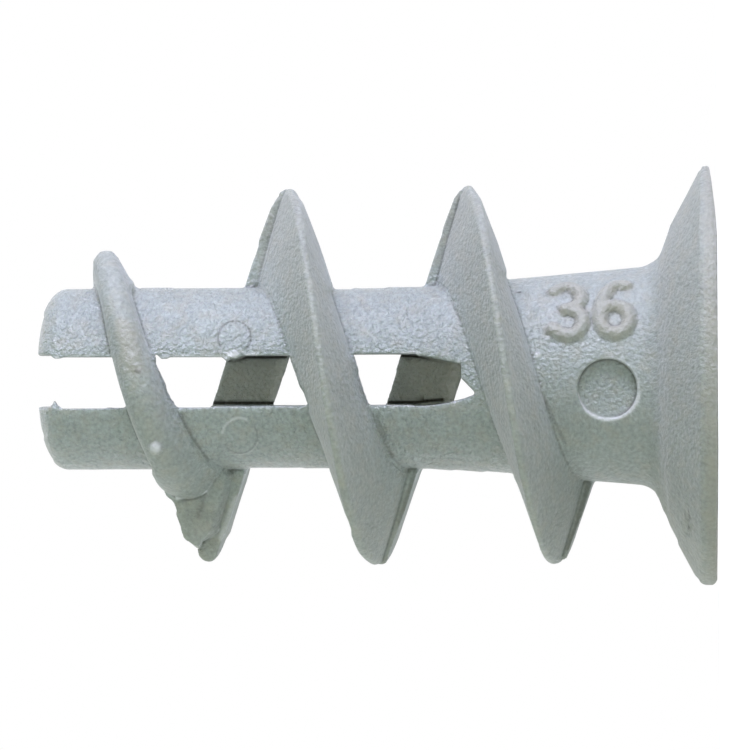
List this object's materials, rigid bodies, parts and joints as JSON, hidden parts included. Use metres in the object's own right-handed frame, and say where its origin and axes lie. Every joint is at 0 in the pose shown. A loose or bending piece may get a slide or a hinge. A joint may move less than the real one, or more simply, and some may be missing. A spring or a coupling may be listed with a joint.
{
  "type": "plasterboard plug",
  "caption": "Self-cutting plasterboard plug: wide conical head, slotted two-legged shank and a tall coarse helical flight, moulded in one piece.",
  "frame": {"origin": "middle of the head face, on the plug's axis", "axes": "+Z along the axis from the head to the tip, the plug standing on its head; the mould parts at the XZ plane, with the front half at -Y"},
  "size_m": [0.0136, 0.0136, 0.022],
  "materials": {
    "nylon": "matte fine-grained grey moulded nylon"
  },
  "bodies": {
    "root": {"plug": "nylon"}
  },
  "joints": []
}
